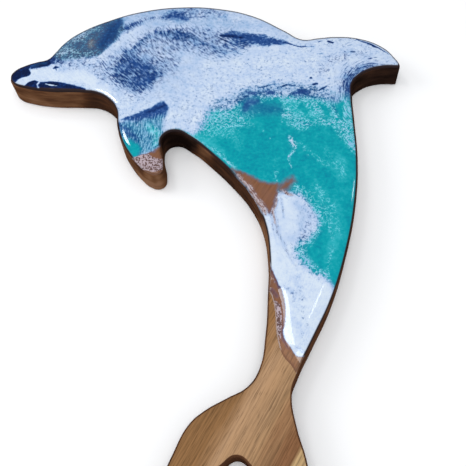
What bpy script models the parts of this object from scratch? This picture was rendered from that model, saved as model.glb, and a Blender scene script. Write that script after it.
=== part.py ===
"""A leaping dolphin cut from one hardwood board, with a poured resin coat on its body.

The board lies on its back with the resin face up. X runs across the board towards the tip of the
dorsal fin, Y runs up the board towards the back, and Z is up. The origin is under the middle of
the board's outline, on the surface that it lies on. Lengths are in metres.
"""

import bmesh
import bpy
from mathutils import Vector

BOARD_LENGTH = 0.405  # from the lower fluke tip to the top of the back, along Y
WOOD_THICKNESS = 0.018  # planed board
UPPER_RIM_RADIUS = 0.0008  # sanded edge on the poured side; the coat stops where it starts
LOWER_RIM_RADIUS = 0.0015  # sanded edge underneath
WOOD_RIM_STEPS = 2

RESIN_THICKNESS = 0.002  # one flood coat
RESIN_RIM_RADIUS = 0.0012  # where the coat rolls over at its rim
RESIN_RIM_STEPS = 3
LARGEST_RIM_SHARE = 0.8  # the roll-over takes at most this share of the coat's thickness
SEAT_GAP = 0.0003  # between the coat and the wood that carries it

CUT_CLEARANCE = 0.005  # how far a cutter stands past what it cuts
CURVE_STEPS = 4  # straight pieces between two points of an outline
WELD_DISTANCE = 0.00001
FLAT_ANGLE = 0.02  # radians; faces that lie flatter than this are one face
SMOOTH_ANGLE = 0.7  # radians; edges sharper than this stay sharp

# The outline as a woodworker's template: points in thousandths of BOARD_LENGTH from the middle of
# the board, X then Y, clockwise as seen from above. The curve is smooth through every point but
# those named in CORNERS.
TEMPLATE = {
    "beak": [(-383, 309), (-378, 328), (-356, 345), (-333, 354), (-316, 359)],
    "melon": [(-304, 376), (-290, 401), (-262, 431), (-198, 468)],
    "back": [(-132, 491), (-47, 500), (38, 489), (105, 463), (169, 415), (200, 391)],
    "dorsal fin": [(232, 393), (264, 395), (311, 388), (356, 362), (379, 327)],
    "dorsal tip": [(384, 313), (382, 303)],
    "dorsal hollow": [(344, 303), (314, 292), (290, 268), (285, 240)],
    "flank": [(283, 181), (280, 90), (269, 6), (244, -95), (213, -180)],
    "outer stock": [(179, -246), (155, -292), (144, -323)],
    "outer fluke": [(149, -371), (160, -415), (162, -455), (163, -484)],
    "outer fluke tip": [(158, -499), (144, -493)],
    "fluke notch": [(116, -459), (86, -423), (65, -407), (43, -420), (-3, -453)],
    "inner fluke tip": [(-40, -489), (-53, -496), (-55, -481)],
    "inner fluke": [(-42, -447), (-25, -407), (-2, -363), (19, -345), (50, -328)],
    "inner stock": [(81, -311), (98, -286), (109, -231), (114, -170), (117, -100)],
    "belly": [(110, -36), (90, 15), (62, 57), (18, 109), (-19, 145)],
    "armpit": [(-46, 161), (-66, 152), (-70, 128)],
    "pectoral fin": [(-63, 88), (-65, 71), (-76, 64), (-92, 69), (-110, 86), (-129, 112), (-145, 142)],
    "throat": [(-157, 183), (-163, 218), (-177, 241), (-206, 261)],
    "jaw": [(-237, 266), (-296, 270), (-347, 281), (-373, 293)],
}
CORNERS = {(382, 303)}

# The free edge of the coat, where the pour was stopped on the tail stock. It is in the same
# thousandths, from the inner side of the stock to the outer side.
POUR_EDGE = [
    (105, -158),
    (116, -163),
    (121, -176),
    (124, -198),
    (125, -229),
    (130, -257),
    (136, -270),
    (145, -281),
    (151, -292),
    (158, -302),
]
# The rest of the loop that cuts the coat away from the tail. It stays clear of the board.
BARE_TAIL_LOOP = [(240, -340), (240, -560), (-110, -560), (-110, -158)]


def clear_scene():
    for item in list(bpy.data.objects):
        bpy.data.objects.remove(item)


def make_collection(name):
    collection = bpy.data.collections.new(name)
    bpy.context.scene.collection.children.link(collection)
    return collection


def make_material(name, colour, roughness):
    material = bpy.data.materials.new(name)
    material.use_nodes = True
    shader = material.node_tree.nodes["Principled BSDF"]
    shader.inputs["Base Color"].default_value = (*colour, 1.0)
    shader.inputs["Roughness"].default_value = roughness
    shader.inputs["Metallic"].default_value = 0.0
    material.diffuse_color = (*colour, 1.0)
    return material


def placed(point):
    """A template point, in thousandths of the board's length, as a place in metres."""
    return Vector((point[0], point[1], 0.0)) * (BOARD_LENGTH / 1000)


def template_points():
    return [point for part in TEMPLATE.values() for point in part]


def slab_curve(name, points, corners, bottom, thickness, inset=0.0):
    """A filled outline with vertical sides, from the height bottom up to bottom + thickness."""
    curve = bpy.data.curves.new(name, "CURVE")
    curve.dimensions = "2D"
    curve.fill_mode = "BOTH"
    curve.extrude = thickness / 2
    curve.offset = -inset
    curve.resolution_u = CURVE_STEPS
    spline = curve.splines.new("BEZIER")
    spline.bezier_points.add(len(points) - 1)
    spline.use_cyclic_u = True
    for knot, point in zip(spline.bezier_points, points):
        knot.co = placed(point)
        handle = "VECTOR" if point in corners else "AUTO"
        knot.handle_left_type = handle
        knot.handle_right_type = handle
    outline = bpy.data.objects.new(name, curve)
    outline.location.z = bottom + thickness / 2
    bpy.context.scene.collection.objects.link(outline)
    return outline


def solid_from_curve(outline, collection):
    """The curve's filled shape as one closed mesh with flat, undivided top and bottom faces."""
    bpy.context.view_layer.update()
    evaluated = outline.evaluated_get(bpy.context.evaluated_depsgraph_get())
    mesh = bpy.data.meshes.new_from_object(evaluated)
    mesh.transform(outline.matrix_world)
    name = outline.name
    bpy.data.objects.remove(outline)
    solid = bpy.data.objects.new(name, mesh)
    collection.objects.link(solid)
    tidy(mesh)
    return solid


def lies_flat(face):
    heights = [vertex.co.z for vertex in face.verts]
    return max(heights) - min(heights) < WELD_DISTANCE


def tidy(mesh):
    """Welds the caps to the sides and joins the triangles of each cap into one face."""
    work = bmesh.new()
    work.from_mesh(mesh)
    bmesh.ops.remove_doubles(work, verts=work.verts, dist=WELD_DISTANCE)
    inner = [edge for edge in work.edges if all(lies_flat(face) for face in edge.link_faces)]
    bmesh.ops.dissolve_limit(work, angle_limit=FLAT_ANGLE, verts=[], edges=inner)
    bmesh.ops.recalc_face_normals(work, faces=work.faces)
    work.to_mesh(mesh)
    work.free()


def cut_away(solid, cutter):
    """Takes the cutter's shape out of the solid, so that the rim can be rounded afterwards."""
    cut = solid.modifiers.new("cut", "BOOLEAN")
    cut.operation = "DIFFERENCE"
    cut.object = cutter
    bpy.context.view_layer.update()
    evaluated = solid.evaluated_get(bpy.context.evaluated_depsgraph_get())
    mesh = bpy.data.meshes.new_from_object(evaluated)
    solid.modifiers.remove(cut)
    bpy.data.objects.remove(cutter)
    solid.data = mesh
    tidy(mesh)


def round_rims(solid, radii, steps):
    """Rounds the slab's rims: radii gives the radius of the rim at each height that has one."""
    widest = max(radii.values())
    mesh = solid.data
    weights = mesh.attributes.new("bevel_weight_edge", "FLOAT", "EDGE")
    for height, radius in radii.items():
        for edge in mesh.edges:
            ends = [mesh.vertices[index].co.z for index in edge.vertices]
            if max(abs(z - height) for z in ends) < WELD_DISTANCE:
                weights.data[edge.index].value = radius / widest
    bevel = solid.modifiers.new("round rims", "BEVEL")
    bevel.limit_method = "WEIGHT"
    bevel.width = widest
    bevel.segments = steps
    bevel.use_clamp_overlap = False


def finish(solid, material):
    solid.data.materials.clear()
    solid.data.materials.append(material)
    solid.data.shade_smooth()
    solid.data.set_sharp_from_angle(angle=SMOOTH_ANGLE)


def centre_on_origin(solids):
    """Moves the solids together so that the middle of their outline stands over the origin."""
    corners = [vertex.co for solid in solids for vertex in solid.data.vertices]
    low = Vector(min(corner[axis] for corner in corners) for axis in range(3))
    high = Vector(max(corner[axis] for corner in corners) for axis in range(3))
    shift = Vector(((low.x + high.x) / 2, (low.y + high.y) / 2, low.z))
    for solid in solids:
        solid.location -= shift


def make_wood_board(collection, material):
    outline = slab_curve("wood_board", template_points(), CORNERS, 0.0, WOOD_THICKNESS)
    board = solid_from_curve(outline, collection)
    radii = {0.0: LOWER_RIM_RADIUS, WOOD_THICKNESS: UPPER_RIM_RADIUS}
    round_rims(board, radii, WOOD_RIM_STEPS)
    finish(board, material)
    return board


def make_bare_tail_cutter(collection, coat_bottom):
    """The part of the tail that the pour leaves bare, taller than the coat on both sides."""
    points = POUR_EDGE + BARE_TAIL_LOOP
    bottom = coat_bottom - CUT_CLEARANCE
    depth = RESIN_THICKNESS + 2 * CUT_CLEARANCE
    outline = slab_curve("bare_tail", points, set(BARE_TAIL_LOOP), bottom, depth)
    return solid_from_curve(outline, collection)


def make_resin_coat(collection, material):
    bottom = WOOD_THICKNESS + SEAT_GAP
    outline = slab_curve(
        "resin_coat", template_points(), CORNERS, bottom, RESIN_THICKNESS, UPPER_RIM_RADIUS
    )
    coat = solid_from_curve(outline, collection)
    cut_away(coat, make_bare_tail_cutter(collection, bottom))
    radius = min(RESIN_RIM_RADIUS, LARGEST_RIM_SHARE * RESIN_THICKNESS)
    round_rims(coat, {bottom + RESIN_THICKNESS: radius}, RESIN_RIM_STEPS)
    finish(coat, material)
    return coat


def main():
    clear_scene()
    parts = make_collection("dolphin_board")
    hardwood = make_material("oiled_hardwood", (0.30, 0.17, 0.09), 0.55)
    ocean = make_material("ocean_resin", (0.10, 0.52, 0.58), 0.12)
    board = make_wood_board(parts, hardwood)
    coat = make_resin_coat(parts, ocean)
    centre_on_origin([board, coat])


main()
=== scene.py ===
"""The looks of the dolphin board: oiled hardwood with a glossy poured ocean on its body.

The board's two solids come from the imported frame. Both are drawn again here, on the same outlines,
with finer rims. The pour's broad areas are strokes, which are set down on the photograph's frame
and carried over to the board. They become fields on the coat's mesh, and the coat's material turns
the fields into pigment, foam and clear resin with noise of its own.
"""

from collections import namedtuple
from math import cos, pi, radians, sin

import bmesh
import bpy
import numpy as np
from mathutils import Matrix, Vector, noise
from mathutils.bvhtree import BVHTree
from mathutils.geometry import delaunay_2d_cdt


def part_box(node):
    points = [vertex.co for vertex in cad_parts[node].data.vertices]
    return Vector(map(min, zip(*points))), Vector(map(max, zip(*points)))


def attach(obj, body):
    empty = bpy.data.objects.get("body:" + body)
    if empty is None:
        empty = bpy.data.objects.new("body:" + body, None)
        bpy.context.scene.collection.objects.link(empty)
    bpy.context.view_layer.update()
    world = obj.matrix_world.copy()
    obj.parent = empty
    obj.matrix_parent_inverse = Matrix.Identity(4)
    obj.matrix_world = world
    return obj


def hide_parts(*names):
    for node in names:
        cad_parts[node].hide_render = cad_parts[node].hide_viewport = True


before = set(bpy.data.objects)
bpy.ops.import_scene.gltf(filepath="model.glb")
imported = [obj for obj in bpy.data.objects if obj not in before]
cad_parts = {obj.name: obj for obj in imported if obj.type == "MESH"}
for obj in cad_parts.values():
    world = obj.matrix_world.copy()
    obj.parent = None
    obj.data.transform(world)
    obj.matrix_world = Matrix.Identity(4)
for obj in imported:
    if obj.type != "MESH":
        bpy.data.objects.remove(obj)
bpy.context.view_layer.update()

MM = 0.001

# The camera, which stands where the photographer's did. Its place is in metres from the part's origin.
FRAME_SIZE = 466  # pixels across and down
CAMERA_PLACE = Vector((0.0400, -0.2239, 0.3657))
CAMERA_TARGET = Vector((0.0242, -0.0239, 0.0203))
CAMERA_ROLL = radians(-5.22)
FOCAL_PIXELS = 600
SENSOR = 36.0

OUTLINE_STEP = 0.8 * MM  # between two points of a redrawn outline
CORNER_TURN = radians(60)  # an outline that turns more than this at a point has a corner there

# The coat's surface
COAT_GRID = 0.85 * MM
ROLL_OVER = 1.2 * MM  # radius of the coat's rim
ROLL_STEPS = 6
SAG_WIDTH = 8.0 * MM  # the coat thins towards its rim over this width
SAG_DEPTH = 0.7 * MM
LEVEL_JAW = (1.0, 16, [(12, 80, 12), (72, 84, 12)])  # the coat sags less by this share under the beak
LIP_START = 3.5 * MM  # the free edge on the tail stays thin this far in
LIP_WIDTH = 12.0 * MM  # and the coat has its whole thickness from here on
LIP_SHARE = 0.35  # of the coat's thickness that is left at the free edge
SEAM = 0.02 * MM  # between the coat and the wood below it

# Grain of the wood, as seen from above: its direction, and where its stripes lie across the board
GRAIN_ANGLE = radians(60)
STRIPES_FROM = 60 * MM
STRIPES_TO = 150 * MM

# The wood's rims
UPPER_RIM = 0.8 * MM
LOWER_RIM = 1.5 * MM
RIM_STEPS = 5
SHOULDER = 0.4 * MM  # a narrow flat band inside each rim keeps the face beside it shaded flat


def camera_matrix():
    facing = (CAMERA_TARGET - CAMERA_PLACE).to_track_quat("-Z", "Y").to_matrix().to_4x4()
    return Matrix.Translation(CAMERA_PLACE) @ facing @ Matrix.Rotation(CAMERA_ROLL, 4, "Z")


def add_camera():
    data = bpy.data.cameras.new("camera")
    data.sensor_width = SENSOR
    data.lens = FOCAL_PIXELS / FRAME_SIZE * SENSOR
    camera = bpy.data.objects.new("camera", data)
    camera.matrix_world = camera_matrix()
    bpy.context.scene.collection.objects.link(camera)
    bpy.context.scene.camera = camera


def picture_places(points):
    """Where points, an array of x, y and z, show in the photograph's frame, in its pixels."""
    matrix = np.array(camera_matrix().inverted())
    seen = points @ matrix[:3, :3].T + matrix[:3, 3]
    middle = FRAME_SIZE / 2
    return middle + FOCAL_PIXELS * seen[:, :2] / -seen[:, 2:3] * (1, -1)


# The pour. A pigment says what its strokes do to the fields of the coat. foam is how much of the
# surface white covers, and deep is how dark the water below it is, from 0, pale, to 1, navy. sea
# turns the water from blue to teal, clear lets the wood show through, and fizz is a crust of small
# bubbles. fibre combs the foam into strands, and calm smooths out its grain.

PIGMENTS = {
    "white": {"foam": 1.08, "deep": 0.3, "sea": 0, "clear": 0, "fizz": 0, "fibre": 0, "calm": 0.1},
    "bright white": {"foam": 1.35, "calm": 0.3, "sea": 0},
    "haze": {"foam": 0.92, "calm": 0.6},
    "veil": {"foam": 0.7, "deep": 0.15, "calm": 0.7},
    "speckle": {"foam": 0.78, "deep": 0.7, "calm": 0},
    "mottle": {"foam": 0.61, "deep": 0.68, "calm": 0},
    "dark mottle": {"foam": 0.2, "deep": 0.74, "calm": 0},
    "crest": {"foam": 0.7, "deep": 0.56, "sea": 0.2, "calm": 0},
    # painted sheen: a thin bright line that stands for a reflection along a rim
    "painted sheen": {"foam": 0.62, "deep": 0, "sea": 1, "calm": 0.9},
    "navy": {"foam": -0.5, "deep": 0.98, "sea": 0, "clear": 0, "calm": 0.8},
    "blue": {"foam": -0.05, "deep": 0.64, "sea": 0, "calm": 0.3},
    "storm": {"foam": 0.02, "deep": 0.72, "sea": 0.6, "clear": 0.2, "calm": 0.3},
    "dusk": {"foam": -0.2, "deep": 0.82, "sea": 0.2, "clear": 0.02, "calm": 0.6},
    "shoal": {"foam": 0.44, "deep": 0.5, "sea": 0.45, "calm": 0.35},
    "deep sea": {"foam": -0.2, "deep": 0.56, "sea": 0.7, "calm": 0.2},
    "royal": {"foam": -0.2, "deep": 0.6, "sea": 0.2, "calm": 0.3},
    "teal": {"foam": -0.3, "deep": 0.34, "sea": 1, "clear": 0, "calm": 0.65},
    "pale teal": {"foam": 0.1, "deep": 0.0, "sea": 1, "calm": 0.6},
    "spray": {"foam": 0.9, "sea": 1, "calm": 0},
    "lace": {"foam": 0.47, "deep": 0.3, "sea": 1, "calm": 0},
    "thin lace": {"foam": 0.16, "deep": 0.2, "sea": 1, "calm": 0},
    "wood": {"foam": -0.5, "clear": 1, "sea": 0, "fizz": 0, "calm": 0.5},
    "amber": {"foam": -0.5, "clear": 0.95, "sea": 1, "deep": 0.7, "fizz": 0, "calm": 0.5},
    "umber": {"foam": -0.5, "clear": 0.6, "deep": 1, "sea": 0, "calm": 0.6},
    "stain": {"clear": 0.5, "foam": 0.38, "sea": 0.9, "calm": 1},
    "smoke": {"clear": 0.5, "foam": 0.7, "calm": 0.2, "fibre": 1},
    "threads": {"foam": 0.52, "clear": 0.9, "sea": 0, "fibre": 1, "calm": 0},
    "fizz": {"fizz": 1, "foam": -0.5, "clear": 1},
    "combed": {"fibre": 1},
}

Stroke = namedtuple("Stroke", "pigment softness points")

# Each stroke has its points in the photograph's pixels, and softness is the width of its edge.
# Points with a third number are a brush of that radius drawn through them, and points without one
# are the outline of an area. Later strokes lie over earlier ones.
POUR = [
    # Pale haze along the back
    Stroke("haze", 10, [(110, 18), (180, 4), (245, 8), (300, 36), (285, 40), (235, 27), (190, 24), (130, 30)]),
    Stroke("veil", 8, [(126, 18, 2), (150, 12, 3), (190, 11, 4), (215, 13, 3), (230, 22, 4)]),
    Stroke("veil", 16, [(150, 24, 1), (200, 21, 3), (225, 24, 4), (246, 26, 2)]),
    Stroke("haze", 24, [(172, 62), (205, 56), (200, 80), (180, 102), (150, 100), (164, 84)]),
    # Beak
    Stroke("bright white", 8, [(20, 80, 4), (50, 74, 6), (80, 76, 6), (105, 90, 5)]),
    Stroke("navy", 1.2, [(6, 84), (6, 72), (18, 60), (30, 58), (31, 66), (29, 69), (31, 73), (29, 75.5), (24, 77),
        (19, 79), (16, 82)]),
    Stroke("navy", 2.5, [(31, 58), (45, 54), (54, 52), (57, 58), (54, 63), (48, 67), (37, 68), (31, 69)]),
    Stroke("dusk", 4, [(34, 65, 2), (46, 63, 2)]),
    Stroke("dark mottle", 6, [(53, 60, 3), (60, 60, 3), (64, 57, 2)]),
    Stroke("navy", 1.2, [(25, 85.5), (28, 82.5), (33, 80.5), (36, 80.5), (38.5, 82), (36.5, 84), (37.5, 87), (37, 92),
        (26, 92)]),
    Stroke("navy", 1.6, [(40.5, 82.5), (50, 81.5), (60, 82), (68, 83.5), (78, 86.5), (86, 89), (84, 94), (39, 94),
        (40, 88), (38.5, 85)]),
    Stroke("bright white", 0.8, [(45, 83.8, 0.3), (51, 85, 0.7), (57, 86, 0.3)]),
    Stroke("navy", 1.2, [(53.5, 68.5, 0.5), (56, 67.2, 1.2), (59, 67.3, 0.6)]),
    Stroke("navy", 1, [(56, 68, 0.5), (56.4, 70.3, 0.4)]),
    # Melon
    Stroke("storm", 4, [(52, 56), (58, 44), (74, 28), (96, 16), (120, 8), (124, 30), (118, 38), (109, 45), (103, 51),
        (98, 56), (86, 57), (76, 58.5), (66, 60), (60, 59)]),
    Stroke("mottle", 7, [(58, 54, 2), (66, 51, 3.5), (76, 53, 2.5), (86, 54, 1)]),
    Stroke("veil", 7, [(110, 20, 1), (117, 17, 2), (122, 20, 1)]),
    Stroke("speckle", 8, [(74, 39, 1), (80, 37, 3), (88, 30, 2), (99, 24, 1)]),
    Stroke("dark mottle", 7, [(68, 56, 2), (80, 54, 3), (94, 54, 2)]),
    Stroke("dusk", 9, [(119, 22, 4), (112, 32, 8), (102, 44, 5)]),
    Stroke("mottle", 12, [(60, 48, 1), (68, 41, 2), (78, 36, 2), (84, 32, 1)]),
    Stroke("stain", 6, [(91.5, 41, 2.2), (91.5, 46, 2.4)]),
    Stroke("mottle", 6, [(60, 62, 1), (68, 60, 2), (84, 60, 1)]),
    Stroke("speckle", 10, [(62, 68, 3), (72, 66, 4), (88, 63, 4), (98, 70, 4), (104, 78, 4)]),
    # Mottle between the melon and the blotch
    Stroke("mottle", 12, [(100, 62, 1), (108, 70, 4), (116, 80, 4)]),
    # Dark flecks along the back
    Stroke("combed", 8, [(118, 36, 2), (130, 27, 6), (160, 18, 5)]),
    Stroke("dark mottle", 7, [(121, 31, 3), (130, 27, 3), (140, 22, 2)]),
    Stroke("mottle", 6, [(142, 20, 2), (154, 18, 2)]),
    Stroke("dark mottle", 9, [(162, 18, 1.5), (172, 15, 4), (182, 16, 4.5), (190, 16, 2)]),
    Stroke("blue", 8, [(172, 16, 1), (184, 17, 2)]),
    Stroke("mottle", 8, [(190, 13, 5), (210, 13, 4), (226, 16, 1.5)]),
    # Combed streaks below the back
    Stroke("combed", 8, [(104, 44), (134, 30), (160, 23), (200, 22), (250, 28), (256, 52), (236, 64), (196, 60), (176, 76),
        (150, 100), (118, 92), (100, 70)]),
    Stroke("mottle", 16, [(108, 58), (120, 50), (136, 42), (146, 33), (160, 28), (200, 27), (228, 33), (246, 46),
        (230, 56), (208, 57), (184, 50), (176, 54), (176, 72), (162, 86), (140, 98), (124, 92), (108, 80)]),
    Stroke("speckle", 10, [(146, 49, 4), (164, 49, 6), (172, 60, 5)]),
    Stroke("dark mottle", 7, [(157, 32, 1.5), (168, 34, 3), (184, 35, 4.5), (196, 40, 1.5)]),
    Stroke("blue", 6, [(178, 33, 0.3), (186, 35, 1.2)]),
    Stroke("dark mottle", 6, [(202, 42, 0.8), (214, 49, 0.8), (226, 53, 0)]),
    Stroke("dark mottle", 5, [(133, 50, 1.5), (141, 41, 1.5), (149, 36, 1)]),
    # The blotch behind the eye
    Stroke("dark mottle", 10, [(116, 70), (120, 58), (126, 52), (134, 56), (146, 64), (158, 69), (160, 76), (150, 86),
        (138, 90), (126, 85), (115, 78)]),
    Stroke("blue", 9, [(122, 68, 1), (132, 62, 2), (144, 68, 3), (153, 68, 1)]),
    Stroke("blue", 7, [(138, 85, 2), (146, 80, 4), (154, 77, 2)]),
    Stroke("haze", 14, [(158, 88, 3), (172, 76, 3)]),
    # The long navy streak
    Stroke("dark mottle", 6, [(222, 35, 1), (232, 35, 4), (243, 39, 7), (256, 40, 5.5), (270, 41, 4), (282, 43, 1.5)]),
    Stroke("blue", 5, [(231, 34, 1), (240, 37, 3), (250, 39, 4.5), (262, 39.5, 4), (274, 41, 2.8), (286, 43.5, 0.8)]),
    Stroke("navy", 3, [(220, 35.5, 0.5), (232, 36, 1.2), (244, 38, 0.8)]),
    Stroke("navy", 1.6, [(216, 36, 0), (225, 41, 0.3), (236, 46, 0)]),
    Stroke("blue", 1.6, [(219, 42, 0), (229, 48, 0.4), (241, 54, 0)]),
    Stroke("blue", 1.6, [(225, 40, 0), (236, 45.5, 0.4), (248, 50, 0)]),
    Stroke("navy", 1.6, [(284, 42.5, 0.5), (298, 46.3, 0.3), (315, 46.5, 0)]),
    # The dorsal fin
    Stroke("navy", 1.2, [(356, 39.5, 0.2), (368, 43.2, 0.6), (379, 48, 0.5), (390, 55, 0.1)]),
    Stroke("speckle", 10, [(318, 72, 2), (332, 60, 3), (350, 52, 3), (372, 56, 2)]),
    Stroke("blue", 1.2, [(318, 42, 0.2), (321, 41, 0.3)]),
    Stroke("navy", 1.2, [(328, 41.5, 0.5), (333, 42.5, 0.7)]),
    Stroke("blue", 1.2, [(317, 54, 0), (322, 53.5, 0.3)]),
    Stroke("navy", 1.2, [(344.5, 51.5, 0.2), (345.5, 51.5, 0.2)]),
    Stroke("navy", 1.2, [(368, 58.6, 0.2), (371, 58.4, 0.2)]),
    Stroke("navy", 1.2, [(373, 46.5, 0.1), (376, 47.3, 0.2)]),
    Stroke("navy", 1.2, [(350, 51.8, 0.3), (355, 52, 0.4)]),
    Stroke("navy", 1.2, [(310.5, 78, 0.8), (311.5, 78, 0.8)]),
    Stroke("combed", 6, [(388, 56), (360, 54), (334, 70), (330, 100), (340, 116), (358, 136), (356, 80)]),
    Stroke("mottle", 12, [(384, 64, 0.5), (366, 66, 4), (350, 76, 8), (344, 95, 8), (349, 118, 4)]),
    Stroke("dark mottle", 8, [(372, 65, 0.5), (362, 68, 1.5), (352, 76, 3), (346, 90, 4), (347, 104, 3), (351, 124, 1)]),
    Stroke("blue", 3, [(349, 84, 0.5), (347, 94, 1.2), (348, 106, 0.8), (351, 122, 0.5)]),
    # The wedge and the pectoral fin
    Stroke("combed", 5, [(116, 118), (164, 112), (168, 126), (162, 150), (130, 158)]),
    Stroke("shoal", 8, [(118, 124), (140, 119), (164, 112), (163, 134), (161, 147), (150, 153), (138, 158), (126, 158),
        (114, 135)]),
    Stroke("mottle", 8, [(138, 121, 2), (150, 117, 2), (162, 113, 1)]),
    Stroke("dark mottle", 9, [(119, 125, 3), (127, 130, 6), (137, 139, 4)]),
    Stroke("blue", 8, [(120, 127, 0.5), (128, 131, 2), (134, 137, 1)]),
    Stroke("lace", 8, [(150, 128, 3), (158, 134, 3), (156, 144, 3)]),
    Stroke("teal", 5, [(112, 134), (121, 137), (130, 140), (137, 143), (141, 149), (138, 157), (130, 160), (116, 152)]),
    # Thin light lines along the armpit's rim: a painted reflection
    Stroke("lace", 3, [(168, 130, 0), (178, 129, 0.5), (188, 135, 0.8), (200, 143, 0.6)]),
    Stroke("navy", 1.2, [(154, 147, 0), (162, 144, 0.2)]),
    Stroke("blue", 9, [(126, 120, 0.2), (136, 119, 1), (150, 115, 3), (163, 111, 4)]),
    Stroke("blue", 2.4, [(120, 119.5), (132, 115.5), (145, 109.8), (155, 104.8), (163.5, 100.5), (168.5, 109),
        (160, 113), (148, 116.5), (138, 119), (128, 121)]),
    Stroke("navy", 6, [(146, 113, 0), (156, 109, 0.3), (164, 106, 0.6)]),
    Stroke("wood", 1.6, [(126, 162), (134, 157.5), (144, 155), (152, 153), (175, 156), (172, 185), (135, 185)]),
    Stroke("fizz", 2, [(130, 160), (134, 157.5), (144, 155), (152, 153), (170, 158), (164, 169), (154, 172), (142, 170)]),
    Stroke("wood", 5, [(149, 154), (156, 150), (163, 145), (170, 150), (168, 157), (160, 158)]),
    Stroke("wood", 9, [(153, 155, 0.2), (162, 156, 0.6)]),
    Stroke("speckle", 1.6, [(132, 158, 0.2), (146, 153.5, 0.2), (160, 147, 0)]),
    # The sea
    Stroke("lace", 14, [(190, 138), (200, 128), (206, 114), (216, 104), (232, 98), (250, 90), (290, 88), (330, 92),
        (352, 100), (362, 130), (356, 172), (330, 150), (250, 150), (220, 150)]),
    Stroke("teal", 9, [(190, 139), (202, 136), (220, 132), (238, 130), (252, 118), (262, 110), (280, 108), (288, 126),
        (302, 132), (318, 126), (332, 128), (344, 142), (356, 158), (375, 150),
        (375, 210), (358, 250), (346, 294), (337, 291), (330, 282), (324, 275), (316, 268), (308, 259), (305, 250),
        (307, 243), (316, 237), (320, 226), (317, 212), (309, 201), (300, 192), (290, 190), (276, 192), (262, 188),
        (250, 179), (240, 176), (220, 168), (200, 152)]),
    Stroke("lace", 10, [(206, 140, 1), (216, 124, 4), (232, 116, 5), (244, 124, 3), (252, 126, 2)]),
    Stroke("pale teal", 10, [(198, 137, 2), (212, 144, 3), (222, 152, 2)]),
    Stroke("thin lace", 14, [(204, 134, 1), (216, 132, 5), (230, 134, 5), (240, 144, 2)]),
    Stroke("teal", 6, [(266, 104, 3), (276, 104, 5), (278, 112, 3)]),
    Stroke("thin lace", 14, [(288, 104, 3), (304, 110, 5), (314, 118, 4)]),
    Stroke("teal", 6, [(324, 106, 2), (329, 116, 2)]),
    Stroke("teal", 6, [(339, 104, 2.5), (341, 116, 1.5)]),
    Stroke("teal", 6, [(300, 106, 1.5), (306, 112, 2)]),
    Stroke("deep sea", 14, [(245, 110, 4), (255, 107, 7), (266, 108, 6), (278, 110, 4)]),
    Stroke("crest", 9, [(214, 106, 4), (228, 103, 6), (240, 96, 5), (256, 90, 6), (280, 89, 7), (304, 90, 7),
        (324, 93, 5), (336, 98, 4)]),
    Stroke("dark mottle", 9, [(242, 100, 3), (250, 92, 1), (262, 93, 1)]),
    Stroke("royal", 6, [(245, 108, 3), (250, 102, 3.5), (258, 100, 2)]),
    Stroke("dark mottle", 6, [(292, 95, 0.5), (308, 95, 1.5), (320, 98, 0.5)]),
    Stroke("blue", 4, [(246, 92, 0.5), (256, 94, 1.5)]),
    Stroke("blue", 4, [(267, 91, 1.5), (273, 93, 1.5)]),
    Stroke("blue", 4, [(293, 93, 0.6), (300, 92, 2.2), (308, 91, 1.6)]),
    Stroke("navy", 1.6, [(312.5, 84.5, 0.8), (317, 84, 0.6)]),
    Stroke("navy", 1.6, [(319, 90, 0.4), (323, 88, 0.9), (327, 86.5, 0.2)]),
    Stroke("navy", 1.6, [(259, 87.5, 0.1), (266, 86, 0.4), (275, 84, 0.1)]),
    Stroke("navy", 1.6, [(280, 86.5, 0.1), (287, 85, 0.5), (295, 86, 0.4)]),
    Stroke("dark mottle", 6, [(330, 100, 1), (336, 112, 1)]),
    Stroke("dark mottle", 5, [(300, 122, 0.5), (310, 124, 0.5)]),
    Stroke("spray", 6, [(280, 114, 0.3), (288, 115, 0.3)]),
    Stroke("spray", 6, [(283, 116, 0), (280, 124, 0)]),
    Stroke("spray", 6, [(290, 138, 2), (294, 143, 3.5), (295, 149, 2)]),
    Stroke("spray", 6, [(293, 152, 1.2), (289, 157, 2)]),
    Stroke("spray", 5, [(290, 161, 0.8), (291, 167, 1.2)]),
    Stroke("lace", 3, [(269, 138.5, 1), (269.5, 139, 1)]),
    Stroke("thin lace", 3, [(263, 130, 1), (264, 131, 1)]),
    Stroke("thin lace", 5, [(276, 156, 0.5), (275, 164, 1), (276, 172, 1)]),
    Stroke("lace", 5, [(275, 172, 1), (275, 180, 1.5), (277, 190, 1)]),
    Stroke("thin lace", 8, [(300, 142, 2), (312, 154, 3), (328, 166, 3)]),
    Stroke("lace", 4, [(305, 148, 0.5), (308, 156, 0.5)]),
    Stroke("pale teal", 14, [(338, 160, 5), (342, 172, 5)]),
    Stroke("pale teal", 20, [(334, 205, 2), (336, 235, 3), (330, 262, 3)]),
    Stroke("thin lace", 12, [(326, 150, 2), (340, 166, 4), (344, 178, 2)]),
    Stroke("thin lace", 12, [(316, 186, 4), (330, 205, 5), (338, 230, 3)]),
    Stroke("lace", 8, [(322, 206, 1), (328, 222, 2), (332, 238, 1)]),
    # Lace along the belly's rim, which also stands for part of its painted reflection
    Stroke("lace", 5, [(212, 147, 1.5), (225, 158, 1.5), (236, 168, 1)]),
    # A thin bright line along the belly's rim: a painted sheen, a reflection painted into the pour
    Stroke("painted sheen", 2.4, [(172, 129.5, 0), (180, 130, 0.7), (190, 134.5, 1), (202, 142, 1), (216, 152.5, 1),
        (230, 164.5, 1), (237, 170.5, 0.3)]),
    Stroke("lace", 12, [(294, 186, 4), (304, 191, 4), (313, 202, 4), (320, 214, 4), (320, 229, 3), (311, 240, 3),
        (305, 250, 2)]),
    Stroke("thin lace", 10, [(318, 190, 2), (330, 206, 3), (333, 222, 3)]),
    # The bare triangle and the wave on the tail
    Stroke("bright white", 7, [(250, 188, 0), (258, 198, 2), (263, 212, 4), (268, 232, 6), (272, 246, 6)]),
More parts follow.
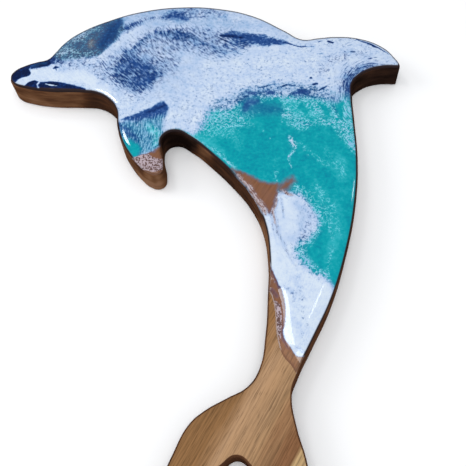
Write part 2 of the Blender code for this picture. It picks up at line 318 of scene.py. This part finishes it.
    Stroke("bright white", 14, [(283, 196), (292, 199), (302, 203), (310, 213), (313, 224), (306, 233), (296, 240),
        (290, 250), (294, 260), (306, 271), (326, 284), (346, 298), (320, 372), (262, 372), (264, 240), (270, 212)]),
    Stroke("veil", 16, [(296, 205, 2), (303, 216, 4), (300, 230, 4), (290, 240, 2)]),
    Stroke("speckle", 8, [(304, 206, 2), (311, 219, 3), (306, 232, 3), (298, 242, 2)]),
    Stroke("combed", 8, [(272, 214), (284, 200), (306, 208), (312, 224), (296, 240), (290, 262), (274, 262)]),
    Stroke("lace", 12, [(302, 242, 2), (299, 250, 4), (304, 260, 4), (316, 270, 4), (326, 277, 2)]),
    Stroke("lace", 8, [(333, 246, 0.5), (331, 258, 1), (328, 270, 1), (327, 281, 0.5)]),
    Stroke("speckle", 6, [(280, 286, 1), (292, 292, 3), (303, 298, 2)]),
    Stroke("speckle", 4, [(297, 346, 1), (303, 352, 2)]),
    Stroke("white", 14, [(298, 280, 4), (300, 310, 5), (302, 340, 4)]),
    Stroke("smoke", 5, [(274, 206, 1), (276, 222, 2), (281, 238, 1.5), (289, 255, 1), (298, 270, 0)]),
    Stroke("smoke", 4, [(266, 204, 0.5), (270, 216, 1), (274, 230, 1), (277, 244, 0)]),
    Stroke("smoke", 3, [(280, 190, 0.5), (281, 204, 1), (284, 218, 0.5)]),
    Stroke("wood", 5, [(232, 168), (240, 171), (247, 174), (254, 178), (262, 182), (272, 184), (278, 183),
        (278, 190), (275, 201), (271, 213), (268, 212), (260, 202), (250, 188), (238, 176)]),
    Stroke("wood", 9, [(278, 187), (285, 181), (293, 177), (294, 182), (288, 188), (281, 191)]),
    Stroke("threads", 5, [(238, 174, 1), (247, 184, 2.5), (254, 195, 3.5), (261, 206, 4), (265, 214, 2)]),
    Stroke("threads", 3, [(277, 192, 0.5), (276, 202, 1), (273, 212, 1.5), (275, 222, 1)]),
    Stroke("threads", 4, [(281, 190, 1), (287, 193, 2), (294, 195, 1)]),
    Stroke("wood", 2, [(260, 256), (268, 258), (270, 266), (273, 274), (277, 282), (280, 289), (283.5, 299), (285.5, 312),
        (285, 324), (282, 332), (284, 339), (290, 346), (294, 353), (298, 357), (306, 356), (300, 385), (262, 385)]),
    Stroke("threads", 3, [(269, 262, 0.5), (272, 272, 1.5), (275, 282, 1)]),
    Stroke("umber", 2, [(269, 264, 0.5), (272, 272, 1), (277, 282, 1), (281.5, 294, 1.2), (284, 306, 1),
        (284.5, 320, 1), (282, 330, 0.6), (283, 340, 0.8), (288, 348, 1)]),
    Stroke("umber", 4, [(272, 291, 1.5), (277, 296, 1)]),
    Stroke("amber", 5, [(287, 352, 2), (294, 360, 4), (301, 362, 4), (298, 370, 4)]),
    Stroke("fizz", 2, [(275, 301, 1), (278, 306, 2.5), (279, 318, 2.8), (279.5, 330, 2), (280, 338, 1)]),
]

# Combed foam has its strands on circles. Each entry is a place in a combed area and the middle of
# its circles, in the photograph's pixels.
STRANDS = [
    ((285, 62), (360, 900)),
    ((300, 290), (-300, 60)),
    ((190, 40), (278, -46)),
    ((352, 88), (377, 94)),
    ((145, 138), (-537, -19)),
    ((140, 70), (300, -110)),
    ((253, 200), (172, 258)),
    ((280, 225), (335, 218)),
]
STRAND_WIDTH = 1.2  # pixels
STRAND_LENGTH = 5.5
WOBBLES = [(0.11, 1.8), (0.35, 0.8)]  # how often the edge of a stroke wavers, and by how many pixels
FIELDS = ["foam", "deep", "sea", "clear", "fizz", "fibre", "calm"]
RIM_WIDTH = 2.0  # pixels; a painted shade darkens the coat's side and this far in
BEAK_RIM = [(40, 88.2, 0.8), (60, 89, 1), (80, 89.6, 0.8)]  # the painted shade is wider along this brush, under the beak
RIM_DROP = 0.6  # pixels; the painted rim shade is this much wider on far edges, and narrower on near ones

# The walls' darkness is partly the wood's own stain and partly painted shade and light: walls that stand in shade are
# painted darker, and lit stretches lighter.
# How dark the sawn walls of the wood are, in the same way: strength, softness and a brush
WALLS = [
    (0.28, 20, [(15, 90, 20), (70, 100, 20)]),
    (0.6, 12, [(95, 100, 12), (115, 110, 12), (118, 130, 8)]),
    (0.35, 8, [(120, 140, 6), (134, 168, 6)]),
    # painted light on the fin's lit, rounded tip
    (0.0, 10, [(144, 180, 8), (156, 184, 10)]),
    (0.4, 6, [(153, 179, 3), (154, 180, 3)]),
    # painted shade on the armpit's wall
    (1.0, 10, [(165, 135, 12), (190, 145, 12)]),
    # a painted highlight patch on the wall beside the armpit
    (0.25, 6, [(197, 150, 5), (206, 157, 5)]),
    (0.65, 8, [(220, 165, 10), (245, 195, 10)]),
    (0.2, 10, [(262, 230, 10), (268, 280, 8)]),
    (0.45, 10, [(345, 260, 8), (300, 375, 8)]),
    (0.85, 8, [(355, 90, 14), (395, 78, 14)]),
]


# Colours, as linear red, green and blue
BLUE_WATER = [
    (0.0, (0.16, 0.33, 0.52)),
    (0.3, (0.055, 0.17, 0.37)),
    (0.6, (0.018, 0.07, 0.25)),
    (0.85, (0.006, 0.028, 0.13)),
    (1.0, (0.003, 0.010, 0.05)),
]
TEAL_WATER = [
    (0.0, (0.03, 0.41, 0.47)),
    (0.3, (0.002, 0.31, 0.36)),
    (0.7, (0.0, 0.13, 0.26)),
    (1.0, (0.0, 0.06, 0.16)),
]
FOAM = [
    (0.0, (0.22, 0.38, 0.62)),
    (0.25, (0.36, 0.49, 0.70)),
    (0.5, (0.47, 0.575, 0.755)),
    (0.9, (0.61, 0.695, 0.795)),
]
SPRAY = (0.17, 0.62, 0.72, 1)  # thin foam over the sea
FROTH = (0.50, 0.42, 0.43, 1)  # thin foam over bare wood
CRISPNESS = (0.3, 0.65)  # of the foam's cover over blue water and over teal
FIZZ = (0.44, 0.355, 0.39, 1)
FIZZ_SHADE = (0.12, 0.068, 0.062, 1)
WET = (0.80, 0.66, 0.61)
SOAKED = (0.21, 0.10, 0.068, 1)  # wood whose grain the resin hides
# painted shade on the coat's side and rim
RIM_SHADE = (0.028, 0.019, 0.02, 1)
SPECKS = (0.66, 0.68, 0.84)  # the grey of the small dark specks in the foam
WOOD_STRIPES = [
    (0.0, (0.24, 0.125, 0.053)),
    (0.30, (0.25, 0.130, 0.055)),
    (0.45, (0.37, 0.225, 0.125)),
    (0.60, (0.33, 0.195, 0.100)),
    (0.75, (0.22, 0.105, 0.050)),
    (0.82, (0.20, 0.095, 0.045)),
    (0.86, (0.42, 0.28, 0.14)),
    (1.0, (0.45, 0.31, 0.16)),
]
WALL_COLOURS = [
    (0.0, (0.22, 0.115, 0.065)),
    (0.2, (0.15, 0.070, 0.034)),
    (0.45, (0.072, 0.030, 0.015)),
    (0.75, (0.026, 0.013, 0.009)),
    (1.0, (0.009, 0.005, 0.004)),
]


# Light. The surface mirrors none of these lights where it is flat, but its rims catch them.
WORLD_LIGHT = 0.71
WORLD_GLOSS = 0.08
WORLD_BACKDROP = 0.95
LIGHTS = [
    {
        "name": "window",
        "place": (-0.42, 0.638, 0.787),
        "target": (-0.08, 0.10, 0),
        "along": (-0.04, 0.033, -0.05),
        "size": (0.09, 0.07),
        "brightness": 18,
    },
    {
        "name": "tail_window",
        "place": (-0.323, 0.19, 0.84),
        "target": (0.05, -0.085, 0),
        "along": (0.064, -0.25, 0.08),
        "size": (0.25, 0.16),
        "brightness": 7,
    },
    {
        "name": "small_window",
        "place": (0.457, 0.50, 0.75),
        "target": (0.1, 0, 0),
        "along": (0, 0, 1),
        "size": (0.07, 0.025),
        "brightness": 16,
    },
    {
        "name": "thin_window",
        "place": (0.183, 0.298, 0.9),
        "target": (0.077, -0.077, 0),
        "along": (0.033, 0.07, 0),
        "size": (0.09, 0.026),
        "brightness": 7,
    },
    {
        "name": "left_softbox",
        "place": (-1.4, 0.35, 0.9),
        "target": (0, 0, 0),
        "along": (0, 1, 0),
        "size": (1.0, 0.8),
        "brightness": 3.3,
    },
    {
        "name": "overhead_softbox",
        "place": (0.1, -0.35, 1.5),
        "target": (0, 0, 0),
        "along": (1, 0, 0),
        "size": (0.9, 0.6),
        "brightness": 5.6,
    },
]


# Outlines


def wall_loop(node, height):
    """The loop round the node's upright walls at this height, as an array of x and y in order."""
    work = bmesh.new()
    work.from_mesh(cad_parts[node].data)
    bmesh.ops.remove_doubles(work, verts=work.verts, dist=0.005 * MM)
    edges = set()
    for face in work.faces:
        if abs(face.normal.z) < 0.01:
            level = [e for e in face.edges if all(abs(v.co.z - height) < 0.01 * MM for v in e.verts)]
            edges.update(level)
    edge = next(iter(edges))
    point = edge.verts[0]
    loop = []
    while edges:
        edges.discard(edge)
        point = edge.other_vert(point)
        loop.append(tuple(point.co.xy))
        edge = next((e for e in point.link_edges if e in edges), None)
        if edge is None:
            break
    work.free()
    return np.array(loop)


def turns(points):
    """The angle by which a closed outline turns at each point."""
    before = points - np.roll(points, 1, 0)
    after = np.roll(points, -1, 0) - points
    cross = before[:, 0] * after[:, 1] - before[:, 1] * after[:, 0]
    return np.arctan2(cross, (before * after).sum(1))


def smoothed(points, step):
    """A closed outline through the points, curved between them but for its corners."""
    corner = np.abs(turns(points)) > CORNER_TURN
    slope = (np.roll(points, -1, 0) - np.roll(points, 1, 0)) / 2
    result = []
    for i, start in enumerate(points):
        j = (i + 1) % len(points)
        end = points[j]
        chord = end - start
        leave = chord if corner[i] else slope[i] * np.linalg.norm(chord) / np.linalg.norm(slope[i])
        reach = chord if corner[j] else slope[j] * np.linalg.norm(chord) / np.linalg.norm(slope[j])
        count = max(1, round(np.linalg.norm(chord) / step))
        for t in np.arange(count) / count:
            result.append(
                (2 * t**3 - 3 * t**2 + 1) * start
                + (t**3 - 2 * t**2 + t) * leave
                + (3 * t**2 - 2 * t**3) * end
                + (t**3 - t**2) * reach
            )
    return np.array(result)


def inset(points, distance):
    """The closed outline, which runs anticlockwise, moved inwards by distance."""
    before = points - np.roll(points, 1, 0)
    after = np.roll(points, -1, 0) - points
    before /= np.linalg.norm(before, axis=1)[:, None]
    after /= np.linalg.norm(after, axis=1)[:, None]
    normal = np.stack([-(before + after)[:, 1], (before + after)[:, 0]], 1)
    normal /= np.linalg.norm(normal, axis=1)[:, None]
    spread = np.clip((normal * np.stack([-after[:, 1], after[:, 0]], 1)).sum(1), 0.5, 1)
    return points + normal * (distance / spread)[:, None]


def anticlockwise(points):
    ahead = np.roll(points, -1, 0)
    area = (points[:, 0] * ahead[:, 1] - points[:, 1] * ahead[:, 0]).sum()
    return points if area > 0 else points[::-1]


def distances(places, path, closed=True):
    """How far each place is from the nearest part of a path, both arrays of x and y."""
    count = len(path)
    fence = [(x, y, height) for height in (-1, 1) for x, y in path]
    panels = [
        (i, (i + 1) % count, count + (i + 1) % count, count + i) for i in range(count if closed else count - 1)
    ]
    tree = BVHTree.FromPolygons(fence, panels)
    return np.array([tree.find_nearest((x, y, 0))[3] for x, y in places])


def inside(places, outline):
    """Which places lie within a closed outline."""
    order = np.argsort(places[:, 1])
    levels = places[order, 1]
    crossings = np.zeros(len(places), int)
    for start, end in zip(outline, np.roll(outline, -1, 0)):
        first, last = np.searchsorted(levels, sorted((start[1], end[1])))
        if first < last:
            spanned = order[first:last]
            share = (places[spanned, 1] - start[1]) / (end[1] - start[1])
            crossings[spanned] += places[spanned, 0] < start[0] + share * (end[0] - start[0])
    return crossings % 2 == 1


def smoothstep(low, high, values):
    share = np.clip((values - low) / (high - low), 0, 1)
    return share * share * (3 - 2 * share)


# Paint


def stroke_cover(points, softness, places):
    """How much of each place a stroke covers, from 0 to 1."""
    points = np.array(points, float)
    if points.shape[1] == 2:
        away = distances(places, points)
        away[inside(places, points)] *= -1
    else:
        away = np.full(len(places), np.inf)
        for start, end in zip(points, points[1:]):
            along = (end - start)[:2]
            share = np.clip((places - start[:2]) @ along / (along @ along), 0, 1)
            gap = places - start[:2] - share[:, None] * along
            radius = start[2] + share * (end[2] - start[2])
            np.minimum(away, np.sqrt((gap**2).sum(1)) - radius, out=away)
    return smoothstep(softness / 2, -softness / 2, away)


def wavering(places):
    """A small smooth shift for each place, which keeps the strokes from looking ruled."""
    shift = np.zeros_like(places)
    for rate, reach in WOBBLES:
        shift += reach * np.array([noise.noise_vector((x * rate, y * rate, 0))[:2] for x, y in places])
    return shift


def strand_places(places):
    """Places measured across and along the strands of the combed foam."""
    nearest = np.full(len(places), np.inf)
    result = np.zeros((len(places), 3))
    for anchor, centre in STRANDS:
        away = np.linalg.norm(places - anchor, axis=1)
        spoke = places - centre
        reach = np.linalg.norm(np.subtract(anchor, centre))
        radius = np.linalg.norm(spoke, axis=1)
        angle = np.arctan2(spoke[:, 1], spoke[:, 0] * np.sign(anchor[0] - centre[0]))
        here = away < nearest
        result[here, 0] = radius[here] / STRAND_WIDTH
        result[here, 1] = angle[here] * reach / STRAND_LENGTH
        nearest = np.minimum(nearest, away)
    return result


def store(mesh, name, values, kind="FLOAT"):
    attribute = mesh.attributes.new(name, kind, "POINT")
    attribute.data.foreach_set("value" if kind == "FLOAT" else "vector", np.ravel(values).astype(np.float32))


def mesh_points(mesh):
    points = np.zeros(len(mesh.vertices) * 3)
    mesh.vertices.foreach_get("co", points)
    return points.reshape(-1, 3)


def pour_paint(mesh, outline):
    points = mesh_points(mesh)
    places = picture_places(points)
    shift = wavering(places)
    fields = {name: np.full(len(points), float(PIGMENTS["white"][name])) for name in FIELDS}
    for stroke in POUR:
        loose = min(1, stroke.softness / 4)
        cover = stroke_cover(stroke.points, stroke.softness, places + loose * shift)
        for name, level in PIGMENTS[stroke.pigment].items():
            fields[name] += cover * (level - fields[name])
    for name in FIELDS:
        store(mesh, name, fields[name])
    store(mesh, "strands", strand_places(places), "FLOAT_VECTOR")
    # The rim field: painted shade on the coat's side and along its rim, wider under the beak
    rim = picture_places(np.column_stack([outline, np.full(len(outline), points[:, 2].max())])) + (0, RIM_DROP)
    shown = 1 - smoothstep(0.5 * RIM_WIDTH, RIM_WIDTH, distances(places, rim))
    side = 1 - smoothstep(0.1 * MM, 0.5 * MM, distances(points[:, :2], outline))
    beak = stroke_cover(BEAK_RIM, 1, places)
    store(mesh, "rim", np.maximum(np.maximum(shown, side), beak))


def wall_paint(mesh, outline):
    """Marks the sawn walls, and how dark each stretch of them is, with the wood's stain and its painted shade and
    light.
    """
    points = mesh_points(mesh)
    places = picture_places(points)
    dark = np.full(len(points), 0.5)
    for strength, softness, brush in WALLS:
        dark += stroke_cover(brush, softness, places) * (strength - dark)
    store(mesh, "dark", dark)
    store(mesh, "wall", 1 - smoothstep(UPPER_RIM, UPPER_RIM + SHOULDER, distances(points[:, :2], outline)))


# Materials


class Shader:
    """A material whose nodes are added one by one; each method gives the new node's output."""

    def __init__(self, name):
        self.material = bpy.data.materials.new(name)
        self.material.use_nodes = True
        self.nodes = self.material.node_tree.nodes
        self.links = self.material.node_tree.links
        self.surface = self.nodes["Principled BSDF"]
        self.place = self.add("TexCoord", {}, "Object")

    def add(self, kind, inputs, output=0, **settings):
        node = self.nodes.new("ShaderNode" + kind)
        for name, value in settings.items():
            setattr(node, name, value)
        for key, value in inputs.items():
            self.put(node.inputs[key], value)
        return node.outputs[output]

    def put(self, socket, value):
        if isinstance(value, bpy.types.NodeSocket):
            self.links.new(value, socket)
        else:
            socket.default_value = value

    def field(self, name):
        return self.add("Attribute", {}, "Fac", attribute_name=name)

    def math(self, operation, first, second=0.0, third=0.0):
        return self.add("Math", {0: first, 1: second, 2: third}, operation=operation)

    def sum(self, *values):
        total = values[0]
        for value in values[1:]:
            total = self.math("ADD", total, value)
        return total

    def scaled(self, value, factor, offset=0.0):
        return self.math("MULTIPLY_ADD", value, factor, offset)

    def step(self, low, high, value, start=0.0, end=1.0):
        """start below low and end above high, with a smooth rise between them."""
        inputs = {"Value": value, "From Min": low, "From Max": high, "To Min": start, "To Max": end}
        return self.add("MapRange", inputs, interpolation_type="SMOOTHSTEP")

    def noise(self, where, scale, detail=3.0, roughness=0.55, distortion=0.0):
        """Noise with its middle at 0 and most of it between -0.5 and 0.5."""
        inputs = {"Vector": where, "Scale": scale, "Detail": detail, "Roughness": roughness}
        raw = self.add("TexNoise", {**inputs, "Distortion": distortion})
        return self.scaled(raw, 2.6, -1.3)

    def stretched(self, where, sizes, turn=0.0):
        """Places measured in a turned frame, in units of the three sizes."""
        turned = self.add("VectorRotate", {"Vector": where, "Angle": -turn}, rotation_type="Z_AXIS")
        shares = [1 / size for size in sizes]
        return self.add("VectorMath", {0: turned, 1: shares}, operation="MULTIPLY")

    def between(self, share, first, second):
        return self.add("Mix", {0: share, 2: first, 3: second})

    def mix(self, share, first, second):
        return self.add("Mix", {0: share, 6: first, 7: second}, 2, data_type="RGBA")

    def ramp(self, value, stops):
        output = self.add("ValToRGB", {"Fac": value})
        elements = output.node.color_ramp.elements
        while len(elements) < len(stops):
            elements.new(0.5)
        for element, (position, colour) in zip(elements, stops):
            element.position = position
            element.color = (*colour, 1)
        return output


def colour(red, green, blue):
    return (red, green, blue, 1)


def wood_colour(shader, warmth=1.0):
    """The colour of the oiled wood, with stripes and fine streaks along its grain."""
    where = shader.place
    across = shader.add(
        "VectorMath", {0: where, 1: (sin(GRAIN_ANGLE), -cos(GRAIN_ANGLE), 0)}, "Value", operation="DOT_PRODUCT"
    )
    broad = shader.noise(shader.stretched(where, (0.09, 0.012, 0.012), GRAIN_ANGLE), 1, 3)
    fine = shader.noise(shader.stretched(where, (0.035, 0.0011, 0.003), GRAIN_ANGLE), 1, 4, 0.65)
    pores = shader.noise(shader.stretched(where, (0.010, 0.0006, 0.001), GRAIN_ANGLE), 1, 2)
    shifted = shader.sum(across, shader.scaled(broad, 0.012))
    stripe = shader.add("MapRange", {"Value": shifted, "From Min": STRIPES_FROM, "From Max": STRIPES_TO})
    base = shader.ramp(stripe, WOOD_STRIPES)
    streaky = shader.step(-0.5, 0.5, shader.sum(fine, shader.scaled(broad, 0.5)), 0.72, 1.22)
    lines = shader.step(0.12, 0.5, pores, 1.0, 0.62)
    return shader.add(
        "VectorMath",
        {0: base, 1: shader.math("MULTIPLY", streaky, lines)},
        operation="MULTIPLY",
    ), fine


def new_object(name, mesh):
    piece = bpy.data.objects.new(name, mesh)
    bpy.context.scene.collection.objects.link(piece)
    return piece


def slab_mesh(name, outline, profile):
    """A closed slab: profile gives each ring's inset and height, from the underside up."""
    mesh = bpy.data.meshes.new(name)
    work = bmesh.new()
    rings = []
    for distance, height in profile:
        ring = [work.verts.new((x, y, height)) for x, y in inset(outline, distance)]
        rings.append(ring)
    for lower, upper in zip(rings, rings[1:]):
        for i in range(len(lower)):
            j = (i + 1) % len(lower)
            work.faces.new((lower[i], lower[j], upper[j], upper[i]))
    work.faces.new(rings[0][::-1])
    work.faces.new(rings[-1])
    work.to_mesh(mesh)
    work.free()
    mesh.shade_smooth()
    return mesh


def rim_profile(bottom, top, lower, upper):
    """Insets and heights up a wall with round rims, with a flat shoulder inside each rim."""
    steps = [pi / 2 * i / RIM_STEPS for i in range(RIM_STEPS + 1)]
    under = [(lower * (1 - sin(a)), bottom + lower * (1 - cos(a))) for a in steps]
    over = [(upper * (1 - cos(a)), top - upper * (1 - sin(a))) for a in steps]
    return [(lower + SHOULDER, bottom)] + under + over + [(upper + SHOULDER, top)]


def coat_height(edge_distance, free_distance, level_share, bottom, top):
    """The height of the coat's surface at these distances from its rim and from its free edge."""
    thickness = top - bottom
    lip = LIP_SHARE + (1 - LIP_SHARE) * smoothstep(LIP_START, LIP_WIDTH, free_distance)
    sag = SAG_DEPTH * (1 - level_share) * (1 - np.clip(edge_distance / SAG_WIDTH, 0, 1)) ** 2
    reach = np.clip(1 - edge_distance / ROLL_OVER, 0, 1)
    roll = 1 - np.sqrt(1 - reach**2)
    level = thickness * lip - sag
    return bottom + level - roll * np.minimum(ROLL_OVER, 0.8 * level)


def coat_mesh(name, outline, free_edge, bottom, top):
    """The coat as a closed mesh, with a fine surface that sags and rolls over towards its rim."""
    rolls = [ROLL_OVER * (1 - cos(pi / 2 * i / ROLL_STEPS)) for i in range(1, ROLL_STEPS + 1)]
    points = [outline]
    for distance in rolls:
        ring = inset(outline, distance)
        points.append(ring[distances(ring, outline) > 0.97 * distance])
    low, high = outline.min(0), outline.max(0)
    across = np.arange(low[0], high[0], COAT_GRID)
    up = np.arange(low[1], high[1], COAT_GRID * sin(pi / 3))
    grid = np.array([(x + COAT_GRID / 2 * (row % 2), y) for row, y in enumerate(up) for x in across])
    grid = grid[inside(grid, outline)]
    grid = grid[distances(grid, outline) > rolls[-1] + COAT_GRID / 2]
    points = np.concatenate(points + [grid])
    border = [(i, (i + 1) % len(outline)) for i in range(len(outline))]
    places, _, faces, *_ = delaunay_2d_cdt([Vector(point) for point in points], border, [], 0, 1e-9, False)
    places = np.array([tuple(place) for place in places])
    faces = np.array(faces)
    outer = (faces < len(outline)).all(1)
    outer[outer] = ~inside(places[faces[outer]].mean(1), outline)
    faces = faces[~outer]
    edge_distance = distances(places, outline)
    edge_distance[: len(outline)] = 0
    seen = picture_places(np.column_stack([places, np.full(len(places), top)]))
    share, softness, brush = LEVEL_JAW
    level_share = share * stroke_cover(brush, softness, seen)
    heights = coat_height(edge_distance, distances(places, free_edge, False), level_share, bottom, top)
    work = bmesh.new()
    surface = [work.verts.new((x, y, z)) for (x, y), z in zip(places, heights)]
    for face in faces:
        work.faces.new([surface[i] for i in face])
    rim = surface[: len(outline)]
    foot = [work.verts.new((vert.co.x, vert.co.y, bottom)) for vert in rim]
    for i in range(len(rim)):
        j = (i + 1) % len(rim)
        work.faces.new((foot[i], foot[j], rim[j], rim[i]))
    work.faces.new(foot[::-1])
    bmesh.ops.recalc_face_normals(work, faces=work.faces)
    mesh = bpy.data.meshes.new(name)
    work.to_mesh(mesh)
    work.free()
    mesh.shade_smooth()
    mesh.set_sharp_from_angle(angle=radians(50))
    return mesh


def make_board():
    low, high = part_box("wood_board")
    outline = anticlockwise(smoothed(wall_loop("wood_board", high.z - UPPER_RIM), OUTLINE_STEP))
    profile = rim_profile(low.z, high.z, LOWER_RIM, UPPER_RIM)
    board = new_object("board", slab_mesh("board", outline, profile))
    wall_paint(board.data, outline)
    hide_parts("wood_board")
    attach(board, "root")
    return board, outline


def make_coat(board_outline):
    low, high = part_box("resin_coat")
    outline = anticlockwise(smoothed(wall_loop("resin_coat", low.z), OUTLINE_STEP))
    away = distances(outline, board_outline)
    free_edge = outline[away > 2 * MM]
    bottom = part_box("wood_board")[1].z + SEAM
    coat = new_object("ocean_coat", coat_mesh("ocean_coat", outline, free_edge, bottom, high.z))
    pour_paint(coat.data, outline)
    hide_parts("resin_coat")
    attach(coat, "root")
    return coat


# Stage


def add_area_light(name, place, target, along, size, brightness):
    """An oval of light that faces target, with its first axis as near to along as it can be."""
    data = bpy.data.lights.new(name, "AREA")
    data.shape = "ELLIPSE"
    data.size, data.size_y = size
    data.energy = brightness * size[0] * size[1] * pi * pi / 4
    back = (Vector(place) - Vector(target)).normalized()
    side = Vector(along) - back * back.dot(Vector(along))
    side.normalize()
    light = bpy.data.objects.new(name, data)
    light.matrix_world = Matrix((side, back.cross(side), back)).transposed().to_4x4()
    light.matrix_world.translation = place
    bpy.context.scene.collection.objects.link(light)


def set_world():
    """A pale studio that lights the part evenly, and that the gloss reflects only faintly."""
    world = bpy.data.worlds.new("studio")
    world.use_nodes = True
    nodes = world.node_tree.nodes
    links = world.node_tree.links
    path = nodes.new("ShaderNodeLightPath")
    dim = nodes.new("ShaderNodeMapRange")
    dim.inputs["To Min"].default_value = WORLD_LIGHT
    dim.inputs["To Max"].default_value = WORLD_GLOSS
    links.new(path.outputs["Is Glossy Ray"], dim.inputs["Value"])
    backdrop = nodes.new("ShaderNodeMapRange")
    backdrop.inputs["To Max"].default_value = WORLD_BACKDROP
    links.new(path.outputs["Is Camera Ray"], backdrop.inputs["Value"])
    links.new(dim.outputs["Result"], backdrop.inputs["To Min"])
    background = nodes["Background"]
    background.inputs["Color"].default_value = (0.95, 0.97, 1, 1)
    links.new(backdrop.outputs["Result"], background.inputs["Strength"])
    bpy.context.scene.world = world


def set_stage():
    bpy.ops.mesh.primitive_plane_add(size=8, location=(0, 0, 0))
    floor = bpy.context.object
    floor.name = "floor"
    material = bpy.data.materials.new("pale_floor")
    material.use_nodes = True
    shader = material.node_tree.nodes["Principled BSDF"]
    shader.inputs["Base Color"].default_value = (0.92, 0.92, 0.92, 1)
    shader.inputs["Roughness"].default_value = 0.9
    shader.inputs["Specular IOR Level"].default_value = 0.0
    floor.data.materials.append(material)
    set_world()
    bpy.context.scene.view_settings.view_transform = "Standard"
    for light in LIGHTS:
        add_area_light(**light)


def wood_material():
    shader = Shader("oiled_wood")
    tone, fine = wood_colour(shader)
    wall = shader.field("wall")
    dark = shader.field("dark")
    across_walls = shader.noise(shader.stretched(shader.place, (0.02, 0.02, 0.004)), 1, 4)
    # the walls' darkness is partly stain and partly painted shade and light
    depth = shader.sum(dark, shader.scaled(across_walls, 0.35))
    stain_and_shade = shader.ramp(depth, WALL_COLOURS)
    shader.put(shader.surface.inputs["Base Color"], shader.mix(wall, tone, stain_and_shade))
    shader.put(shader.surface.inputs["Roughness"], 0.42)
    shader.put(shader.surface.inputs["Specular IOR Level"], 0.0)
    bump = shader.add("Bump", {"Strength": 0.25, "Distance": 0.1 * MM, "Height": fine}, "Normal")
    shader.put(shader.surface.inputs["Normal"], bump)
    return shader.material


def pour_material():
    shader = Shader("ocean_pour")
    where = shader.place
    foam, deep, sea, clear, fizz, fibre, calm = [shader.field(name) for name in FIELDS]
    strands = shader.add("Attribute", {}, "Vector", attribute_name="strands")

    broad = shader.noise(where, 95, 3)
    coarse = shader.noise(where, 430, 2, 0.6)
    fine = shader.noise(where, 1000, 2, 0.6)
    grains = shader.sum(shader.scaled(broad, 0.35), shader.scaled(coarse, 1.0), shader.scaled(fine, 0.7))
    curls = shader.math("ABSOLUTE", shader.noise(where, 400, 2, 0.6, 0.4))
    filaments = shader.sum(shader.scaled(curls, 4.0, -0.5), shader.scaled(grains, 0.6))
    streaks = shader.noise(strands, 1, 3, 0.6)
    combed = shader.sum(shader.scaled(streaks, 1.6), shader.scaled(grains, 0.5))
    texture = shader.between(fibre, shader.between(sea, grains, filaments), combed)
    texture = shader.math("MULTIPLY", texture, shader.scaled(calm, -0.9, 1))
    excess = shader.math("SUBTRACT", shader.scaled(foam, 1, -0.5), texture)
    soft = shader.step(-0.6, 0.6, excess)
    crisp = shader.step(-0.3, 0.3, excess)
    cover = shader.between(shader.step(0, 1, sea, *CRISPNESS), soft, crisp)

    depth = shader.sum(deep, shader.scaled(coarse, 0.2), shader.scaled(broad, 0.15))
    blend = shader.math("MULTIPLY", sea, shader.scaled(sea, -1, 1))
    water = shader.mix(shader.sum(sea, shader.math("MULTIPLY", blend, broad)),
        shader.ramp(depth, BLUE_WATER), shader.ramp(depth, TEAL_WATER))
    wood, _ = wood_colour(shader)
    wet = shader.add("VectorMath", {0: wood, 1: WET}, operation="MULTIPLY")
    soaked = shader.math("MULTIPLY", shader.scaled(broad, 0.5, 0.55), shader.scaled(sea, -1, 1))
    wet = shader.mix(soaked, wet, SOAKED)
    edge = shader.math("MULTIPLY", clear, shader.scaled(clear, -1, 1))
    base = shader.mix(shader.sum(clear, shader.math("MULTIPLY", edge, coarse)), water, wet)
    tone = shader.sum(shader.scaled(foam, 0.8, -0.28), shader.scaled(broad, 0.4), shader.scaled(texture, -0.3),
        shader.scaled(streaks, 0.3))
    white = shader.ramp(tone, FOAM)
    thin = shader.math("MULTIPLY", sea, shader.step(1.0, 0.2, shader.sum(foam, shader.scaled(grains, -0.5))))
    grey = shader.add("VectorMath", {0: white, 1: SPECKS}, operation="MULTIPLY")
    specks = shader.step(0.35, 0.75, shader.sum(shader.scaled(fine, 0.9), shader.scaled(coarse, 0.4)))
    white = shader.mix(shader.math("MULTIPLY", specks, shader.scaled(calm, -0.32, 0.32)), white, grey)
    white = shader.mix(thin, white, SPRAY)
    froth = shader.math("MULTIPLY", clear, shader.step(0.9, 0.6, foam))
    painted = shader.mix(cover, base, shader.mix(froth, white, FROTH))

    cells = shader.add("TexVoronoi", {"Vector": where, "Scale": 860.0}, "Distance")
    bubbles = shader.mix(shader.step(0.38, 0.62, shader.sum(cells, shader.scaled(coarse, 0.4))), FIZZ_SHADE, FIZZ)
    painted = shader.mix(shader.step(0.3, 0.7, shader.sum(fizz, shader.scaled(coarse, 0.25))), painted, bubbles)
    # The rim field turns the pour to a painted shade, less over clear resin, and dulls its gloss there
    rim = shader.math("MULTIPLY", shader.field("rim"), shader.scaled(clear, -0.75, 1.0))
    shader.put(shader.surface.inputs["Base Color"], shader.mix(rim, painted, RIM_SHADE))
    shader.put(shader.surface.inputs["Roughness"], 0.05)
    shader.put(shader.surface.inputs["Specular IOR Level"], shader.scaled(rim, -0.5, 0.5))
    return shader.material


board, board_outline = make_board()
coat = make_coat(board_outline)
board.data.materials.append(wood_material())
coat.data.materials.append(pour_material())
set_stage()
add_camera()
